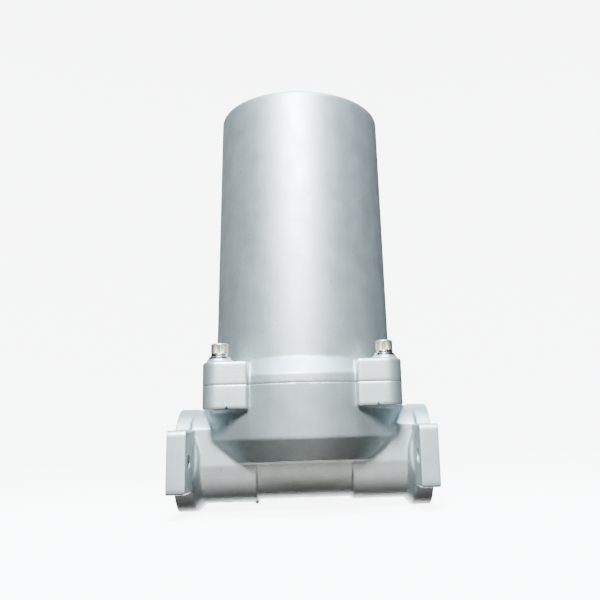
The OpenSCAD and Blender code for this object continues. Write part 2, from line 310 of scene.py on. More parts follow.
def prism(outline, low, high, along="Z"):
    """An outline drawn in XY and raised along Z, or drawn in YZ and raised along X."""
    count = len(outline)
    flat = [(a, b, h) for h in (low, high) for a, b in outline]
    verts = flat if along == "Z" else [(h, a, b) for a, b, h in flat]
    sides = [[i, (i + 1) % count, count + (i + 1) % count, count + i] for i in range(count)]
    return mesh_object("prism", verts, [list(range(count))[::-1], list(range(count, 2 * count)), *sides])


def rectangle(a0, a1, b0, b1):
    return [(a0, b0), (a1, b0), (a1, b1), (a0, b1)]


def block(x0, x1, y0, y1, z0, z1):
    return prism(rectangle(x0, x1, y0, y1), z0, z1)


def arc(cx, cy, r, a0, a1, steps):
    """Points on an arc, from a0 to a1 degrees."""
    angles = [math.radians(a0 + (a1 - a0) * k / steps) for k in range(steps + 1)]
    return [(cx + r * math.cos(a), cy + r * math.sin(a)) for a in angles]


def ring_stack(name, rings, sides):
    """A closed skin over rings, each a function of the angle for its radius and one for its height."""
    verts, faces = [], []
    angles = [TAU * k / sides for k in range(sides)]
    for radius, height in rings:
        verts += [(radius(a) * math.cos(a), radius(a) * math.sin(a), height(a)) for a in angles]
    for i in range(len(rings) - 1):
        for k in range(sides):
            n = (k + 1) % sides
            faces.append([i * sides + k, i * sides + n, (i + 1) * sides + n, (i + 1) * sides + k])
    for start, order in ((0, -1), ((len(rings) - 1) * sides, 1)):
        centre = len(verts)
        verts.append((0, 0, rings[start // sides][1](0)))
        for k in range(sides):
            n = (k + 1) % sides
            faces.append([start + k, start + n, centre][::order])
    return mesh_object(name, verts, faces)


def sweep(name, line, section):
    """Carries a closed section, given as (outward, upward) offsets, along points round the Z axis."""
    verts, faces = [], []
    count, last = len(section), len(line) - 1
    for i, p in enumerate(line):
        here = Vector(p)
        along = (Vector(line[min(i + 1, last)]) - Vector(line[max(i - 1, 0)])).normalized()
        out = Vector((here.x, here.y, 0)).normalized()
        up = along.cross(out).normalized() * -1
        out = up.cross(along) * -1
        verts += [here + out * a + up * b for a, b in section]
    for i in range(last):
        for k in range(count):
            n = (k + 1) % count
            faces.append([i * count + k, i * count + n, (i + 1) * count + n, (i + 1) * count + k])
    faces.append(list(range(count))[::-1])
    faces.append([last * count + k for k in range(count)])
    return mesh_object(name, verts, faces)


def outward(obj):
    """Turns a closed mesh inside out if its volume is negative."""
    co = np.empty(len(obj.data.vertices) * 3)
    obj.data.vertices.foreach_get("co", co)
    co = co.reshape(-1, 3)
    obj.data.calc_loop_triangles()
    tri = np.array([t.vertices for t in obj.data.loop_triangles])
    volume = np.einsum("ij,ij->i", co[tri[:, 0]], np.cross(co[tri[:, 1]], co[tri[:, 2]])).sum()
    if volume < 0:
        obj.data.flip_normals()
    return obj


def finish_piece(obj, name, body, material, stands_for=(), soft_edge=32):
    """Makes a working mesh a piece: metres, shading, material, body and the CAD nodes it stands for."""
    outward(obj)
    obj.name = name
    obj.data.transform(Matrix.Scale(MM, 4))
    obj.data.materials.clear()
    obj.data.materials.append(material)
    obj.data.polygons.foreach_set("use_smooth", [True] * len(obj.data.polygons))
    obj.data.set_sharp_from_angle(angle=math.radians(soft_edge))
    if body:
        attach(obj, body)
    if stands_for:
        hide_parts(*stands_for)
    return obj


# ---- materials ------------------------------------------------------------------------


class Nodes:
    """A short way to write a material's nodes."""

    def __init__(self, name, slot, base, metallic, roughness):
        self.material = bpy.data.materials.new(name)
        self.material.use_nodes = True
        self.material["slot"] = slot
        self.material.diffuse_color = (*base, 1)
        self.tree = self.material.node_tree
        self.shader = self.tree.nodes["Principled BSDF"]
        self.shader.inputs["Base Color"].default_value = (*base, 1)
        self.shader.inputs["Metallic"].default_value = metallic
        self.shader.inputs["Roughness"].default_value = roughness
        self.place = self.add("ShaderNodeTexCoord").outputs["Object"]

    def add(self, kind, **values):
        node = self.tree.nodes.new(kind)
        for key, value in values.items():
            setattr(node, key, value)
        return node

    def link(self, source, target):
        self.tree.links.new(source, target)

    def stretched(self, x, y, z):
        node = self.add("ShaderNodeMapping")
        node.inputs["Scale"].default_value = (x, y, z)
        self.link(self.place, node.inputs["Vector"])
        return node.outputs["Vector"]

    def noise(self, scale, detail=4.0, roughness=0.55, place=None):
        node = self.add("ShaderNodeTexNoise")
        node.inputs["Scale"].default_value = scale
        node.inputs["Detail"].default_value = detail
        node.inputs["Roughness"].default_value = roughness
        self.link(place or self.place, node.inputs["Vector"])
        return node.outputs["Fac"]

    def ramp(self, source, *stops):
        """Turns a value into a colour; stops are (position, value or colour)."""
        node = self.add("ShaderNodeValToRGB")
        self.link(source, node.inputs["Fac"])
        ramp = node.color_ramp
        while len(ramp.elements) < len(stops):
            ramp.elements.new(0.5)
        for element, (at, value) in zip(ramp.elements, stops):
            element.position = at
            element.color = (*value, 1) if hasattr(value, "__len__") else (value, value, value, 1)
        return node.outputs["Color"]

    def mix(self, amount, a, b, blend="MIX"):
        node = self.add("ShaderNodeMix", data_type="RGBA", blend_type=blend)
        for socket, value in ((0, amount), (6, a), (7, b)):
            if isinstance(value, bpy.types.NodeSocket):
                self.link(value, node.inputs[socket])
            elif socket == 0:
                node.inputs[0].default_value = value
            else:
                node.inputs[socket].default_value = (*value, 1)
        return node.outputs[2]

    def math(self, operation, a, b=0.0):
        node = self.add("ShaderNodeMath", operation=operation)
        for socket, value in zip(node.inputs, (a, b)):
            if isinstance(value, bpy.types.NodeSocket):
                self.link(value, socket)
            else:
                socket.default_value = value
        return node.outputs[0]

    def bump(self, height, distance, strength=1.0, after=None):
        node = self.add("ShaderNodeBump")
        node.inputs["Distance"].default_value = distance
        node.inputs["Strength"].default_value = strength
        self.link(height, node.inputs["Height"])
        if after:
            self.link(after, node.inputs["Normal"])
        return node.outputs["Normal"]

    def set(self, **sockets):
        for name, source in sockets.items():
            self.link(source, self.shader.inputs[name.replace("_", " ")])
        return self.material


def cast_aluminium():
    """As-cast metal: fine sand grain, cloudy tone, a few stains and scratches, and a painted shade line at
    the joint.
    """
    m = Nodes("cast_aluminium", "cast_aluminium", (0.5, 0.56, 0.58), 0.85, 0.5)
    cloud = m.noise(28, 5, 0.6)
    grain = m.noise(1400, 3, 0.7)
    pores = m.noise(420, 2, 0.5)
    streak = m.noise(5, 3, 0.5, m.stretched(26, 26, 2.2))
    tone = m.ramp(cloud, (0.3, (0.475, 0.545, 0.56)), (0.7, (0.52, 0.59, 0.605)))
    tone = m.mix(0.3, tone, m.ramp(streak, (0.35, 0.42), (0.65, 0.62)), "SOFT_LIGHT")
    tone = m.mix(0.22, tone, m.ramp(grain, (0.3, 0.3), (0.7, 0.7)), "OVERLAY")
    specks = m.ramp(pores, (0.24, 0.0), (0.29, 1.0))
    tone = m.mix(specks, (0.3, 0.31, 0.3), tone)
    scratch = m.add("ShaderNodeTexVoronoi", feature="DISTANCE_TO_EDGE")
    scratch.inputs["Scale"].default_value = 14
    m.link(m.stretched(1.7, 1.7, 0.55), scratch.inputs["Vector"])
    line = m.ramp(scratch.outputs["Distance"], (0.0, 1.0), (0.006, 0.0))
    where = m.ramp(m.noise(22, 2, 0.5), (0.58, 0.0), (0.66, 1.0))
    marks = m.math("MULTIPLY", m.math("MULTIPLY", line, where), 0.3)
    tone = m.mix(marks, tone, (0.78, 0.82, 0.83))
    # Painted shade: a thin dark brown band along the joint between bowl and base, in place of the shadow in a
    # chamfered seam.
    height = m.add("ShaderNodeSeparateXYZ")
    m.link(m.place, height.inputs[0])
    off_joint = m.math("ABSOLUTE", m.math("SUBTRACT", height.outputs["Z"], JOINT_Z * MM))
    seam_shade = m.ramp(m.math("DIVIDE", off_joint, MM), (0.1, 1.0), (0.5, 0.0))
    tone = m.mix(m.math("MULTIPLY", seam_shade, 0.5), tone, (0.2, 0.16, 0.15))
    gloss = m.ramp(m.noise(60, 4, 0.6), (0.3, 0.46), (0.7, 0.54))
    fine = m.bump(grain, 0.00006, 0.8)
    rough = m.bump(m.noise(240, 3, 0.6), 0.00012, 0.6, fine)
    wavy = m.bump(cloud, 0.00025, 0.15, rough)
    return m.set(Base_Color=tone, Roughness=gloss, Normal=wavy)


def steel(name, slot, dark, light, rough_low, rough_high, turned=0.0):
    """Plated or bright steel, with fine tool marks where turned is above 0."""
    m = Nodes(name, slot, light, 1.0, rough_low)
    tone = m.ramp(m.noise(160, 4, 0.6), (0.3, dark), (0.7, light))
    gloss = m.ramp(m.noise(500, 3, 0.6), (0.3, rough_low), (0.7, rough_high))
    relief = m.bump(m.noise(1800, 2, 0.5), 0.00002, 0.5)
    if turned:
        tool = m.noise(60, 2, 0.5, m.stretched(1, 1, turned))
        relief = m.bump(tool, 0.00003, 0.6, relief)
    return m.set(Base_Color=tone, Roughness=gloss, Normal=relief)


def brass():
    m = Nodes("brass", "brass", (0.72, 0.5, 0.2), 1.0, 0.28)
    tone = m.ramp(m.noise(90, 4, 0.6), (0.3, (0.55, 0.37, 0.14)), (0.7, (0.78, 0.57, 0.25)))
    gloss = m.ramp(m.noise(300, 3, 0.6), (0.3, 0.22), (0.7, 0.38))
    tool_marks = m.noise(60, 2, 0.5, m.stretched(1, 1, 40))
    return m.set(Base_Color=tone, Roughness=gloss, Normal=m.bump(tool_marks, 0.00003, 0.7))


def painted_cap():
    m = Nodes("end_cap_paint", "end_cap", (0.03, 0.12, 0.32), 0.0, 0.35)
    tone = m.ramp(m.noise(120, 4, 0.6), (0.3, (0.024, 0.1, 0.27)), (0.7, (0.035, 0.14, 0.36)))
    gloss = m.ramp(m.noise(240, 3, 0.6), (0.3, 0.3), (0.7, 0.45))
    return m.set(Base_Color=tone, Roughness=gloss, Normal=m.bump(m.noise(380, 2, 0.5), 0.00008, 0.5))


def paper():
    """Resin-set filter paper: fibres, slight mottling."""
    m = Nodes("filter_paper", "filter_paper", (0.72, 0.6, 0.4), 0.0, 0.9)
    fibre = m.noise(900, 6, 0.75, m.stretched(1, 1, 0.25))
    tone = m.ramp(fibre, (0.3, (0.6, 0.47, 0.28)), (0.7, (0.82, 0.71, 0.5)))
    tone = m.mix(0.25, tone, m.ramp(m.noise(40, 3, 0.5), (0.3, 0.35), (0.7, 0.65)), "SOFT_LIGHT")
    gloss = m.ramp(fibre, (0.3, 0.82), (0.7, 0.95))
    return m.set(Base_Color=tone, Roughness=gloss, Normal=m.bump(fibre, 0.0001, 0.7))


def rubber():
    m = Nodes("seal_rubber", "seal_rubber", (0.02, 0.02, 0.021), 0.0, 0.5)
    tone = m.ramp(m.noise(200, 3, 0.6), (0.3, 0.016), (0.7, 0.032))
    gloss = m.ramp(m.noise(500, 3, 0.6), (0.3, 0.42), (0.7, 0.6))
    return m.set(Base_Color=tone, Roughness=gloss, Normal=m.bump(m.noise(1200, 2, 0.5), 0.00003, 0.6))


def fibre():
    m = Nodes("fibre", "fibre", (0.42, 0.13, 0.06), 0.0, 0.7)
    weave = m.noise(700, 5, 0.7)
    tone = m.ramp(weave, (0.3, (0.32, 0.09, 0.04)), (0.7, (0.5, 0.18, 0.09)))
    gloss = m.ramp(weave, (0.3, 0.6), (0.7, 0.8))
    return m.set(Base_Color=tone, Roughness=gloss, Normal=m.bump(weave, 0.00006, 0.6))


ALUMINIUM = cast_aluminium()
ZINC = steel("zinc_steel", "zinc_steel", (0.62, 0.57, 0.42), (0.76, 0.72, 0.57), 0.36, 0.5)
BRIGHT = steel("bright_steel", "bright_steel", (0.55, 0.56, 0.57), (0.75, 0.76, 0.77), 0.2, 0.36)
SPRING = steel("spring_steel", "spring_steel", (0.3, 0.31, 0.33), (0.5, 0.51, 0.53), 0.26, 0.42)
GUARD = steel("perforated_steel", "perforated_steel", (0.5, 0.52, 0.53), (0.72, 0.74, 0.75), 0.28, 0.45)
BRASS = brass()
PAINT = painted_cap()
PAPER = paper()
RUBBER = rubber()
FIBRE = fibre()

# ---- castings -------------------------------------------------------------------------

BASE_VOXEL = 0.9
BOWL_VOXEL = 1.1
BASE_KEPT = 0.42  # share of the remeshed faces that is kept
BOWL_KEPT = 0.36
SOFTEN = 3
OVER = 0.7  # how far a rough casting stands past a face that is machined back


def cast(parts, voxel, kept, name):
    """Fuses rough parts into one skin, softens every edge as a casting has, and thins flat areas."""
    obj = join(parts, name)
    fuse = obj.modifiers.new("fuse", "REMESH")
    fuse.mode = "VOXEL"
    fuse.voxel_size = voxel
    soften = obj.modifiers.new("soften", "SMOOTH")
    soften.factor = 0.5
    soften.iterations = SOFTEN
    bake(obj)
    thin = obj.modifiers.new("thin", "DECIMATE")
    thin.ratio = kept
    return bake(obj)


def lug_outline(sx, sy):
    """One corner lug, filled in towards the middle."""
    edge = BOLT + LUG_R
    corner = arc(BOLT, BOLT, LUG_R, 0, 90, 12)
    points = [(LUG_FLANK, LUG_FLANK), (edge, LUG_FLANK), *corner, (LUG_FLANK, edge)]
    return [(sx * x, sy * y) for x, y in points]


def neck_outline(low_z):
    """Round underneath, flat sides, and a flatter arc for the roof."""
    mid_z = low_z + NECK_R
    low_side = mid_z - math.sqrt(NECK_R**2 - NECK_HALF**2)
    low_angle = math.degrees(math.atan2(low_side - mid_z, NECK_HALF))
    roof_mid_z = NECK_ROOF_Z - NECK_ROOF_R
    roof_angle = math.degrees(math.acos(NECK_HALF / NECK_ROOF_R))
    under = arc(0, mid_z, NECK_R, -180 - low_angle, low_angle, 32)
    roof = arc(0, roof_mid_z, NECK_ROOF_R, roof_angle, 180 - roof_angle, 24)
    return under + roof


def ear_plate():
    return [(y, z + PORT_Z) for y, z in rounded(rectangle(-EAR_Y, EAR_Y, -EAR_H, EAR_H), EAR_CORNER_R, 6)]


def rough_port(side):
    """Collar, its flare and the eared plate at one end."""
    face = PORT_X + OVER
    inner = PORT_X - COLLAR_T
    start = inner - COLLAR_FLARE
    profile = [(0, start), (NECK_R, start), (COLLAR_R, inner), (COLLAR_R, face), (0, face)]
    collar = lathe("collar", profile, 128, (0, 0, PORT_Z), (side, 0, 0))
    flats = [block(-FAR, FAR, *y_range, -FAR, FAR) for y_range in ((COLLAR_HALF, FAR), (-FAR, -COLLAR_HALF))]
    cut(collar, [*flats, block(-FAR, FAR, -FAR, FAR, -FAR, 0)])
    plate = prism(ear_plate(), *sorted((side * inner, side * face)), "X")
    neck_ends = sorted((side * (NECK_MID_X - 1), side * (inner + 2)))
    return [collar, plate, prism(neck_outline(NECK_LOW_Z), *neck_ends, "X")]


def flash():
    """A low ridge under the neck, where two halves of the mould met."""
    half_x, half_y, drop = 1, 7, 1.5
    x0, x1 = -NECK_MID_X - half_x, -NECK_MID_X + half_x
    return block(x0, x1, -half_y, half_y, NECK_LOW_Z - drop, NECK_MID_LOW_Z + 2)


def rough_base():
    top = JOINT_Z + OVER
    profile = [(0, BODY_LOW_Z), (BODY_R - CHAMFER, BODY_LOW_Z), (BODY_R, BODY_LOW_Z + CHAMFER),
               (FLANGE_R, top), (0, top)]
    parts = [lathe("body", profile, 192), prism(neck_outline(NECK_MID_LOW_Z), -NECK_MID_X, NECK_MID_X, "X")]
    parts += [prism(lug_outline(sx, sy), LUG_LOW_Z, top) for sx, sy in CORNERS]
    return [*parts, *rough_port(-1), *rough_port(1), flash()]


def chamber_cutter():
    """The room under the element, round the raised outlet boss and the tube that leads from it."""
    lip_z = JOINT_Z - MOUTH_LIP_T
    top = JOINT_Z + CLEAR
    profile = [(0, OUTLET_BOSS_TOP_Z), (OUTLET_BOSS_R, OUTLET_BOSS_TOP_Z), (OUTLET_BOSS_R, CHAMBER_FLOOR_Z),
               (CHAMBER_R - CHAMBER_CHAMFER, CHAMBER_FLOOR_Z), (CHAMBER_R, CHAMBER_FLOOR_Z + CHAMBER_CHAMFER),
               (CHAMBER_R, lip_z), (MOUTH_R, lip_z), (MOUTH_R, top), (0, top)]
    tube = cylinder(OUTLET_TUBE_R, 0, FAR, 96, (0, 0, PORT_Z), (1, 0, 0))
    return cut(lathe("chamber", profile, 128), [tube])


def groove(r, depth, face, at=(0, 0, 0), along=(0, 0, 1)):
    profile = rectangle(r - GROOVE_HALF, r + GROOVE_HALF, face - depth, face + CLEAR)
    return lathe("groove", profile, 128, at, along)


def countersunk(r, edge, z0, z1, at, along=(0, 0, 1)):
    """A drill that breaks the edge of its hole at z1."""
    profile = [(0, z0), (r, z0), (r, z1 - edge), (r + edge + 1, z1 + 1), (0, z1 + 1)]
    return lathe("drill", profile, 64, at, along)


def port_cutters(side):
    """Faces one port off, and cuts its bore, its seal groove and the holes of its ears."""
    axis, along = (0, 0, PORT_Z), (side, 0, 0)
    low, high = sorted((side * PORT_X, side * FAR))
    hole_low = PORT_X - COLLAR_T - CLEAR
    holes = [countersunk(EAR_HOLE_R[side], EAR_HOLE_EDGE, hole_low, PORT_X, (0, y, PORT_Z), along)
             for y in (-EAR_HOLE_Y, EAR_HOLE_Y)]
    return [block(low, high, -FAR, FAR, -FAR, FAR), groove(PORT_SEAL_R, PORT_GROOVE_T, PORT_X, axis, along),
            *holes, countersunk(BORE_R, BORE_EDGE, BORE_END_X, PORT_X, axis, along)]


def casting_notch(sx, sy):
    """A small V where two halves of the mould met, in the lower outer edge of a lug."""
    x, y = sx * NOTCH_X, sy * (BOLT + LUG_R)
    corners = [(x - NOTCH_HALF, LUG_LOW_Z - 1), (x + NOTCH_HALF, LUG_LOW_Z - 1), (x, LUG_LOW_Z + NOTCH_H)]
    verts = [(a, d, b) for d in sorted((y - sy * 4, y + sy * 3)) for a, b in corners]
    faces = [[0, 1, 2], [5, 4, 3], [0, 3, 4, 1], [1, 4, 5, 2], [2, 5, 3, 0]]
    return outward(mesh_object("notch", verts, faces))


def base_casting():
    base = cast(rough_base(), BASE_VOXEL, BASE_KEPT, "base_shell")
    drain = (DRAIN_X, 0, 0)
    cutters = [block(-FAR, FAR, -FAR, FAR, JOINT_Z, JOINT_Z + FAR), chamber_cutter(),
               *port_cutters(-1), *port_cutters(1),
               cylinder(OUTLET_R, -1, OUTLET_END_X, 96, (0, 0, PORT_Z), (1, 0, 0)),
               cylinder(OUTLET_R, PORT_Z, OUTLET_BOSS_TOP_Z + 2, 96),
               groove(SEAL_R, SEAL_GROOVE_T, JOINT_Z),
               cylinder(SPOT_R, -CLEAR, DRAIN_SEAT_Z, 64, drain),
               cylinder(DRAIN_HOLE_R, DRAIN_SEAT_Z - CLEAR, PORT_Z, 64, drain)]
    for sx, sy in CORNERS:
        at = (sx * BOLT, sy * BOLT, 0)
        cutters.append(countersunk(BASE_HOLE_R, SCREW_HOLE_EDGE, LUG_LOW_Z - CLEAR, JOINT_Z, at))
        cutters.append(casting_notch(sx, sy))
    cut(base, cutters)
    return finish_piece(base, "base_shell", BASE, ALUMINIUM, ["base_casting"])


def wall_radius(z):
    """Outer radius of the drafted bowl wall."""
    low = CONE_TOP_Z
    return BOWL_R + (BOWL_TOP_R - BOWL_R) * (z - low) / (BOWL_TOP_Z - TOP_EDGE_R - low)


def rough_bowl():
    low = JOINT_Z - OVER
    edge = arc(BOWL_TOP_R - TOP_EDGE_R, BOWL_TOP_Z - TOP_EDGE_R, TOP_EDGE_R, 0, 90, 8)
    profile = [(0, low), (FLANGE_R, low), (FLANGE_R, CONE_LOW_Z), (BOWL_R, CONE_TOP_Z),
               *edge, (0, BOWL_TOP_Z)]
    parts = [lathe("wall", profile, 256)]
    for sx, sy in CORNERS:
        parts.append(prism(lug_outline(sx, sy), low, LUG_TOP_Z))
        parts.append(cylinder(BOSS_R, LUG_TOP_Z - 4, BOSS_TOP_Z + OVER, 64, (sx * BOLT, sy * BOLT, 0)))
    return parts


def true_up(obj, low, high):
    """Puts the remeshed wall back on its exact drafted surface between two heights."""
    ease_low, ease_high, furthest = 4, 2, 1.2
    co = np.empty(len(obj.data.vertices) * 3)
    obj.data.vertices.foreach_get("co", co)
    co = co.reshape(-1, 3)
    r, z = np.hypot(co[:, 0], co[:, 1]), co[:, 2]
    target = wall_radius(z)
    ease = np.clip((z - low) / ease_low, 0, 1) * np.clip((high - z) / ease_high, 0, 1)
    ease[(z < low) | (z > high) | (np.abs(r - target) > furthest)] = 0
    share = 1 + ease * (target / np.maximum(r, 1e-9) - 1)
    co[:, 0] *= share
    co[:, 1] *= share
    obj.data.vertices.foreach_set("co", co.ravel())
    obj.data.update()
    return obj


def cavity_cutter():
    """The room inside the bowl, round the pad that the vent plug screws into."""
    low, inner = JOINT_Z - CLEAR, BOWL_R - BOWL_WALL
    corner = arc(BOWL_TOP_R - BOWL_WALL - ROOF_CORNER_R, BOWL_ROOF_Z - ROOF_CORNER_R, ROOF_CORNER_R, 0, 90, 8)
    pad_z = BOWL_ROOF_Z - VENT_PAD_H
    profile = [(0, low), (inner, low), (inner, JOINT_Z + 0.01), *corner,
               (VENT_PAD_R, BOWL_ROOF_Z), (VENT_PAD_R, pad_z), (0, pad_z)]
    return lathe("cavity", profile, 192)


def bowl_casting():
    bowl = cast(rough_bowl(), BOWL_VOXEL, BOWL_KEPT, "bowl_shell")
    true_up(bowl, CONE_TOP_Z + 4, BOWL_TOP_Z - TOP_EDGE_R - 3)
    cutters = [block(-FAR, FAR, -FAR, FAR, JOINT_Z - FAR, JOINT_Z), cavity_cutter(),
               cylinder(SPOT_R, VENT_Z - PLUG_SEAL_T, BOWL_TOP_Z + CLEAR, 64),
               cylinder(VENT_HOLE_R, BOWL_ROOF_Z - VENT_PAD_H - CLEAR, BOWL_TOP_Z, 64)]
    for sx, sy in CORNERS:
        at = (sx * BOLT, sy * BOLT, 0)
        cutters.append(cylinder(BOSS_R + 1.5, BOSS_TOP_Z, BOSS_TOP_Z + CLEAR, 64, at))
        cutters.append(countersunk(BOWL_HOLE_R, SCREW_HOLE_EDGE, JOINT_Z - CLEAR, BOSS_TOP_Z, at))
    cut(bowl, cutters)
    return finish_piece(bowl, "bowl_shell", "bowl", ALUMINIUM, ["bowl_casting"])


# ---- fasteners ------------------------------------------------------------------------


def hexagon(flats):
    """Radius of a hexagon at each angle."""
    return lambda a: flats / 2 / math.cos((a + math.pi / 6) % (math.pi / 3) - math.pi / 6)


def same(value):
    return lambda a: value


def turned(*profile):
    """Round, level rings from (radius, height) points."""
    return [(same(r), same(z)) for r, z in profile]


def thread_rings(r, pitch, z0, z1):
    """Rings whose radius follows a helix, fading out at both ends."""
    steps = 8
    count = round((z1 - z0) / pitch * steps)
    depth = 0.55 * pitch

    def radius(z):
        fade = min(1, (z - z0) / pitch, (z1 - z) / pitch)

        def at_angle(a):
            crest = abs(2 * ((z / pitch - a / TAU) % 1) - 1)
            return r - depth * fade * min(1, max(0, 1.25 * crest - 0.1)) - 0.3 * (1 - fade)

        return at_angle

    heights = [z0 + (z1 - z0) * i / count for i in range(count + 1)]
    return [(radius(z), same(z)) for z in heights]


def socket_rings(flats, top, depth, edge):
    """From the rim of a hexagon socket, with a broken edge, down to its drilled floor."""
    hole = hexagon(flats)
    return [(lambda a: hole(a) + edge, same(top)), (hole, same(top - edge)), (hole, same(top - depth)),
            *turned((flats * 0.3, top - depth - 0.6))]


def cap_screw(n):
    """Socket-head screw with a knurled head and a rolled thread."""
    sides, knurls = 144, 36
    low, top = HEAD_Z - SCREW_L, HEAD_Z + HEAD_H

    def knurled(depth):
        return lambda a: HEAD_R - depth * abs(2 * ((a * knurls / TAU) % 1) - 1)

    tip = turned((2.6, low))
    thread = thread_rings(SCREW_R, SCREW_PITCH, low + 0.8, low + SCREW_THREAD_L)
    shank = turned((SCREW_R, low + SCREW_THREAD_L + 1), (SCREW_R, HEAD_Z - 0.4), (WASHER_HOLE_R, HEAD_Z))
    side = [(0.1, HEAD_Z + 0.5), (0.22, HEAD_Z + 0.9), (0.22, top - 1.3), (0.1, top - 0.9)]
    head = [*turned((HEAD_R - 0.5, HEAD_Z)), *[(knurled(depth), same(z)) for depth, z in side],
            *turned((HEAD_R - 0.15, top - 0.6), (HEAD_R - 0.8, top))]
    socket = socket_rings(SCREW_SOCKET, top, SCREW_SOCKET_T, 0.25)
    screw = ring_stack("screw", tip + thread + shank + head + socket, sides)
    sx, sy = CORNERS[n - 1]
    screw.data.transform(Matrix.Translation((sx * BOLT, sy * BOLT, 0)))
    return finish_piece(screw, f"knurled_screw_{n}", f"screw_{n}", ZINC, [f"cap_screw_{n}"], 25)


def plain_washer(n, at):
    outline = rectangle(WASHER_HOLE_R, WASHER_R, BOSS_TOP_Z, BOSS_TOP_Z + WASHER_T)
    flat = lathe("flat", rounded(outline, 0.35), 96, at)
    return finish_piece(flat, f"plain_washer_{n}", f"washers_{n}", BRIGHT, [f"flat_washer_{n}"])


def split_washer(n, at):
    """One turn of flat wire, with a gap and a slight rise from end to end."""
    gap, rise, steps = math.radians(9), 0.5, 90
    turns = [gap / 2 + (TAU - gap) * k / steps for k in range(steps + 1)]
    line = [(SPLIT_MID_R * math.cos(a), SPLIT_MID_R * math.sin(a), SPLIT_MID_Z + rise * (a / TAU - 0.5))
            for a in turns]
    split = sweep("split", line, rounded(rectangle(-1.15, 1.15, -0.8, 0.8), 0.25))
    split.data.transform(Matrix.Translation(at))
    return finish_piece(split, f"split_washer_{n}", f"washers_{n}", BRIGHT, [f"lock_washer_{n}"])


def washers(n):
    sx, sy = CORNERS[n - 1]
    at = (sx * BOLT, sy * BOLT, 0)
    plain_washer(n, at)
    split_washer(n, at)


def socket_plug(name, thread_r, length, at, head_down, body, node):
    """Recessed plug with a hexagon socket; at is the seat under its flange."""
    r, top = PLUG_FLANGE_R, PLUG_FLANGE_T
    tip = turned((thread_r - 1, -length))
    thread = thread_rings(thread_r, PLUG_PITCH, -length + 0.4, -0.2)
    flange = turned((thread_r - 0.3, 0), (r - 0.2, 0), (r, 0.25), (r, top - 0.6), (r - 0.6, top))
    socket = socket_rings(PLUG_SOCKET, top, PLUG_SOCKET_T, 0.3)
    plug = ring_stack("plug", tip + thread + flange + socket, 120)
    if head_down:
        plug.data.transform(Matrix.Rotation(math.pi, 4, "X"))
    plug.data.transform(Matrix.Translation(at))
    return finish_piece(plug, name, body, BRIGHT, [node], 25)


def gasket(name, hole_r, low, x, body, node):
    """Flat fibre ring under a plug."""
    outline = rectangle(hole_r, PLUG_SEAL_R, low, low + PLUG_SEAL_T)
    ring = lathe("gasket", rounded(outline, 0.25), 96, (x, 0, 0))
    return finish_piece(ring, name, body, FIBRE, [node])


# ---- filter element -------------------------------------------------------------------


def guard():
    """Perforated tube: a staggered grid of round holes with real thickness."""
    low, high = ELEMENT_LOW_Z + CAP_T + 0.2, ELEMENT_TOP_Z - CAP_T - 0.2
    outer, inner = PACK_R + 1, PACK_R + 0.4
    columns, rows, edge = 44, 27, 3
    cell_w, cell_h = TAU / columns, (high - low) / rows
    hole_r = 2.6
    verts, faces, index = [], [], {}

    def point(layer, key, a, z):
        full = (layer, *key)
        if full not in index:
            r = outer if layer == 0 else inner
            index[full] = len(verts)
            verts.append((r * math.cos(a), r * math.sin(a), z))
        return index[full]

    def cell(i, j):
        """Points round the square edge of one cell and round its hole, each as (key, angle, height)."""
        shift = 0.5 * (j % 2)
        mid_a, mid_z = (i + 0.5 + shift) * cell_w, low + (j + 0.5) * cell_h
        rim, hub = [], []
        for k in range(4 * edge):
            side, t = divmod(k, edge)
            u, v = [(t / edge, 0), (1, t / edge), (1 - t / edge, 1), (0, 1 - t / edge)][side]
            key = (round((i + u + shift) * 6) % (6 * columns), round((j + v) * 3))
            rim.append((key, (i + u + shift) * cell_w, low + (j + v) * cell_h))
            turn = math.atan2((v - 0.5) * cell_h, (u - 0.5) * cell_w * outer)
            hub_a, hub_z = mid_a + hole_r * math.cos(turn) / outer, mid_z + hole_r * math.sin(turn)
            hub.append((("h", i, j, k), hub_a, hub_z))
        return rim, hub

    for j in range(rows):
        for i in range(columns):
            rim, hub = cell(i, j)
            count = len(rim)
            for k in range(count):
                n = (k + 1) % count
                for layer in (0, 1):
                    quad = [point(layer, *p) for p in (rim[k], rim[n], hub[n], hub[k])]
                    faces.append(quad if layer == 0 else quad[::-1])
                faces.append([point(0, *hub[k]), point(0, *hub[n]), point(1, *hub[n]), point(1, *hub[k])])
                if (j == 0 and k < edge) or (j == rows - 1 and 2 * edge <= k < 3 * edge):
                    faces.append([point(0, *rim[n]), point(0, *rim[k]), point(1, *rim[k]), point(1, *rim[n])])
    tube = mesh_object("guard", verts, faces)
    return finish_piece(tube, "perforated_guard", "element", GUARD, ["outer_guard"])


def folded_line():
    """Middle of the paper, seen from above: every fold is a valley and a round tip."""
    tip, valley = PACK_R - 0.5, PACK_IN_R + 0.5
    fold = [(valley + 0.9, 0.32), (valley, 0.5), (valley + 0.9, 0.68), (tip - 1.1, 0.76), (tip - 0.3, 0.86),
            (tip, 1.0), (tip - 0.3, 1.14), (tip - 1.1, 1.24)]
    ring = [(r, TAU * (i + share) / PLEATS) for i in range(PLEATS) for r, share in fold]
    return [Vector((r * math.cos(a), r * math.sin(a))) for r, a in ring], len(fold)


